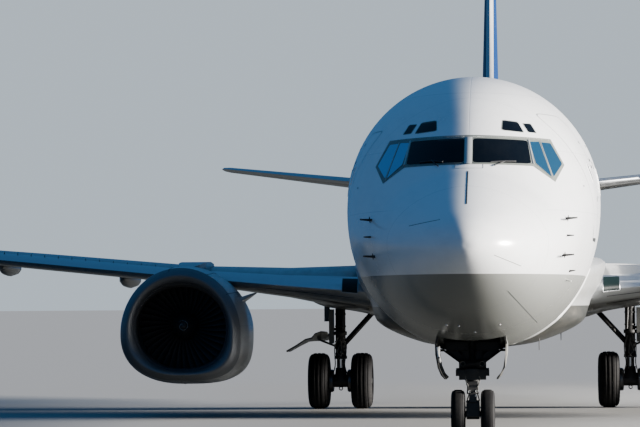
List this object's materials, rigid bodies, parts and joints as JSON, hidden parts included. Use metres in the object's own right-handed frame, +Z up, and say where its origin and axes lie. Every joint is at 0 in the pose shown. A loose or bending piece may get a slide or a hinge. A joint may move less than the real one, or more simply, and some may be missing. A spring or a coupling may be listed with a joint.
{
  "type": "narrow-body jet airliner",
  "caption": "Low-wing narrow-body jet airliner parked on its wheels, with engines under swept wings and a dark blue fin.",
  "frame": {"origin": "on the ground under the centre of the aircraft's length and span", "axes": "+Z up, nose towards -Y, left wing towards +X"},
  "size_m": [28.88, 33.4, 11.1258],
  "materials": {
    "white_paint": "gloss white paint",
    "grey_paint": "gloss grey paint",
    "blue_paint": "gloss dark blue paint",
    "bare_metal": "polished",
    "dark_metal": "dark, heat stained",
    "gear_paint": "grey gear enamel",
    "window": "dark tinted glass",
    "tyre": "matte black rubber"
  },
  "bodies": {
    "airframe": {"fuselage": "white_paint", "radome": "white_paint", "belly_fairing": "grey_paint", "windshield_left": "window", "windshield_right": "window", "side_window_left": "window", "side_window_right": "window", "rear_window_left": "window", "rear_window_right": "window", "wing_left": "grey_paint", "wing_right": "grey_paint", "flap_inner_left": "grey_paint", "flap_inner_right": "grey_paint", "flap_outer_left": "grey_paint", "flap_outer_right": "grey_paint", "fin": "blue_paint", "tailplane_left": "grey_paint", "tailplane_right": "grey_paint", "inlet_lip_left": "bare_metal", "inlet_lip_right": "bare_metal", "engine_cowl_left": "grey_paint", "engine_cowl_right": "grey_paint", "engine_core_left": "dark_metal", "engine_core_right": "dark_metal", "pylon_left": "grey_paint", "pylon_right": "grey_paint", "nose_leg": "gear_paint", "nose_door_left": "white_paint", "nose_door_right": "white_paint", "main_leg_left": "gear_paint", "main_leg_right": "gear_paint", "main_carrier_left": "gear_paint", "main_carrier_right": "gear_paint", "main_brace_left": "gear_paint", "main_brace_right": "gear_paint", "main_door_left": "grey_paint", "main_door_right": "grey_paint"},
    "nose_steering": {"nose_fork": "gear_paint"},
    "nose_wheels": {"nose_wheelset": "gear_paint", "nose_tyre_left": "tyre", "nose_tyre_right": "tyre"},
    "rudder": {"rudder": "blue_paint"},
    "main_wheels_left": {"main_wheelset_left": "gear_paint", "main_tyre_inner_left": "tyre", "main_tyre_outer_left": "tyre"},
    "fan_left": {"fan_left": "dark_metal"},
    "aileron_left": {"aileron_left": "grey_paint"},
    "elevator_left": {"elevator_left": "grey_paint"},
    "main_wheels_right": {"main_wheelset_right": "gear_paint", "main_tyre_inner_right": "tyre", "main_tyre_outer_right": "tyre"},
    "fan_right": {"fan_right": "dark_metal"},
    "aileron_right": {"aileron_right": "grey_paint"},
    "elevator_right": {"elevator_right": "grey_paint"}
  },
  "joints": [
    {"name": "nose_steer", "type": "hinge", "parent": "airframe", "child": "nose_steering", "pos_m": [0, -12.69, 0.885], "axis": [0, 0, 1], "range_deg": [-78, 78]},
    {"name": "nose_wheels_spin", "type": "hinge", "parent": "nose_steering", "child": "nose_wheels", "pos_m": [0, -12.69, 0.34], "axis": [1, 0, 0], "continuous": true},
    {"name": "main_wheels_left_spin", "type": "hinge", "parent": "airframe", "child": "main_wheels_left", "pos_m": [2.615, -0.24, 0.505], "axis": [1, 0, 0], "continuous": true},
    {"name": "main_wheels_right_spin", "type": "hinge", "parent": "airframe", "child": "main_wheels_right", "pos_m": [-2.615, -0.24, 0.505], "axis": [1, 0, 0], "continuous": true},
    {"name": "fan_left_spin", "type": "hinge", "parent": "airframe", "child": "fan_left", "pos_m": [4.945, -4.7, 1.545], "axis": [0, 1, 0], "continuous": true},
    {"name": "fan_right_spin", "type": "hinge", "parent": "airframe", "child": "fan_right", "pos_m": [-4.945, -4.7, 1.545], "axis": [0, 1, 0], "continuous": true},
    {"name": "aileron_left_hinge", "type": "hinge", "parent": "airframe", "child": "aileron_left", "pos_m": [12.025, 2.03916, 3.08941], "axis": [0.9442, 0.3154, 0.0949], "range_deg": [-20, 20]},
    {"name": "aileron_right_hinge", "type": "hinge", "parent": "airframe", "child": "aileron_right", "pos_m": [-12.025, 2.03916, 3.08941], "axis": [0.9442, -0.3154, -0.0949], "range_deg": [-20, 20]},
    {"name": "elevator_left_hinge", "type": "hinge", "parent": "airframe", "child": "elevator_left", "pos_m": [3.6, 15.39314, 4.72496], "axis": [0.9429, 0.309, 0.1241], "range_deg": [-20, 20]},
    {"name": "elevator_right_hinge", "type": "hinge", "parent": "airframe", "child": "elevator_right", "pos_m": [-3.6, 15.39314, 4.72496], "axis": [0.9429, -0.309, -0.1241], "range_deg": [-20, 20]},
    {"name": "rudder_hinge", "type": "hinge", "parent": "airframe", "child": "rudder", "pos_m": [0, 14.51, 8.19], "axis": [0, 0.337, 0.9415], "range_deg": [-26, 26]}
  ],
  "couplings": [
    {"joint": "aileron_right_hinge", "follows": "aileron_left_hinge", "ratio": -1},
    {"joint": "elevator_right_hinge", "follows": "elevator_left_hinge", "ratio": 1}
  ]
}
